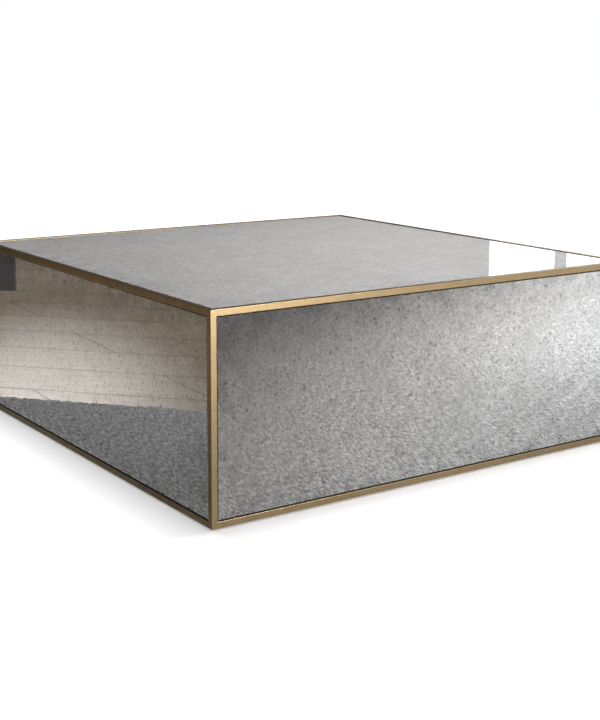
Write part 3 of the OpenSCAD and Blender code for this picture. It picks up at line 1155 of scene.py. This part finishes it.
    def mirrored_floor(self) -> None:
        """The floor that the mirrors see: a grey textile, and boards beyond its uneven edge."""
        material, graph = self.blank("mirrored_floor")
        place = graph.place()
        turned = graph.node("Mapping", {0: place, 1: (0.0, -self.first_joint, 0.0),
                                        2: (0.0, 0.0, self.grain - math.pi / 2)}).outputs[0]
        across = graph.node("SeparateXYZ", {0: turned}).outputs[1]
        edge = self.textile_edge - self.first_joint
        wander = graph.ramp(graph.noise(place, 40.0, 3.0), 0.2, 0.8, -0.012, 0.012)
        beyond = graph.ramp(graph.maths("ADD", across, wander), edge - 0.002, edge + 0.002)
        self.glow(graph, graph.mix(beyond, self.textile(graph, place),
                                   self.boards(graph, place, turned, across)))
        self.level_card("mirrored_floor", 2 * self.floor_reach, 0.0005, material, Sees.REFLECTIONS)

    def dark_block(self) -> None:
        """A dark piece of furniture on the boards at the rear left, which the left mirror just catches."""
        material, graph = self.blank("dark_block")
        self.glow(graph, (0.010, 0.009, 0.008))
        self.upright_card("dark_block", self.block_near, self.block_far, self.block_top, material)

    def far_wall(self) -> None:
        """What the top sees far behind the table: a grey wall, and beside it a window with one bar."""
        material, graph = self.blank("far_wall")
        heading = StudioCamera().heading
        ahead = Vector((math.sin(heading), math.cos(heading)))
        side = Vector((ahead.y, -ahead.x))
        u = graph.vector_maths("DOT_PRODUCT", graph.place(), (*side, 0.0), "Value")
        pane = graph.maths("GREATER_THAN", u, self.window_from)
        bar = graph.product(graph.maths("GREATER_THAN", u, self.bar_from),
                            graph.maths("LESS_THAN", u, self.bar_to))
        glass = graph.mix(bar, (1.65, 1.65, 1.65), (0.38, 0.38, 0.39))
        shade = graph.ramp(u, -1.4, self.window_from, 0.12, 0.345)
        wall = graph.node("CombineColor", {0: shade, 1: shade, 2: shade}).outputs[0]
        self.glow(graph, graph.mix(pane, wall, glass))
        left = self.wall_ahead * ahead - self.wall_reach * side
        right = self.wall_ahead * ahead + self.wall_reach * side
        self.upright_card("far_wall", tuple(left), tuple(right), self.wall_top, material)

    def surroundings(self) -> None:
        """White to the camera and an even fill to matt surfaces; to reflections dim, and lighter ahead.

        The light ahead grows with the cosine of the angle to its middle, and with the height above the
        horizon.
        """
        world = bpy.data.worlds.new("studio_world")
        world.use_nodes = True
        world.node_tree.nodes.clear()
        graph = Graph(world.node_tree)
        path = graph.node("LightPath", {}).outputs
        direction = graph.node("TexCoord", {}).outputs["Generated"]
        facing = graph.vector_maths("DOT_PRODUCT", direction, (0.45, -0.89, 0.0), "Value")
        height = graph.node("SeparateXYZ", {0: direction}).outputs[2]
        ahead = graph.product(graph.ramp(facing, 0.0, 0.8), graph.ramp(height, 0.0, 0.35, 0.15, 1.0))
        reflected = graph.mix(ahead, (0.085, 0.078, 0.070), (1.20, 1.18, 1.14))
        colour = graph.mix(path["Is Glossy Ray"], (0.25, 0.25, 0.26), reflected)
        colour = graph.mix(path["Is Camera Ray"], colour, (1.0, 1.0, 1.0))
        background = graph.node("Background", {"Color": colour})
        graph.node("OutputWorld", {"Surface": background.outputs[0]})
        bpy.context.scene.world = world
        bpy.context.scene.view_settings.view_transform = "Standard"

    def build(self, brass_pieces: list[Piece]) -> None:
        """Sets up the stage, the lights and the world.

        Args:
            brass_pieces: The pieces that the brass lights fall on.
        """
        brass = bpy.data.collections.new("brass_pieces")
        for piece in brass_pieces:
            brass.objects.link(piece)
        self.pale_floor()
        self.mirrored_floor()
        self.dark_block()
        self.far_wall()
        for softbox in self.softboxes:
            softbox.hang(brass)
        self.surroundings()


def main() -> None:
    """Builds the table piece by piece, then the studio around it."""
    logging.basicConfig(level=logging.INFO, format="%(name)s: %(message)s")
    StudioCamera().place()
    brass_pieces = BrassFrame().build()
    for piece in brass_pieces + MirrorPanels().build() + ScrewFeet().build():
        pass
    for node in Carcass().dress():
        LOG.info("%s: dressed in %s", node.name, node.data.materials[0].name)
    Studio().build(brass_pieces)


if __name__ == "__main__":
    main()
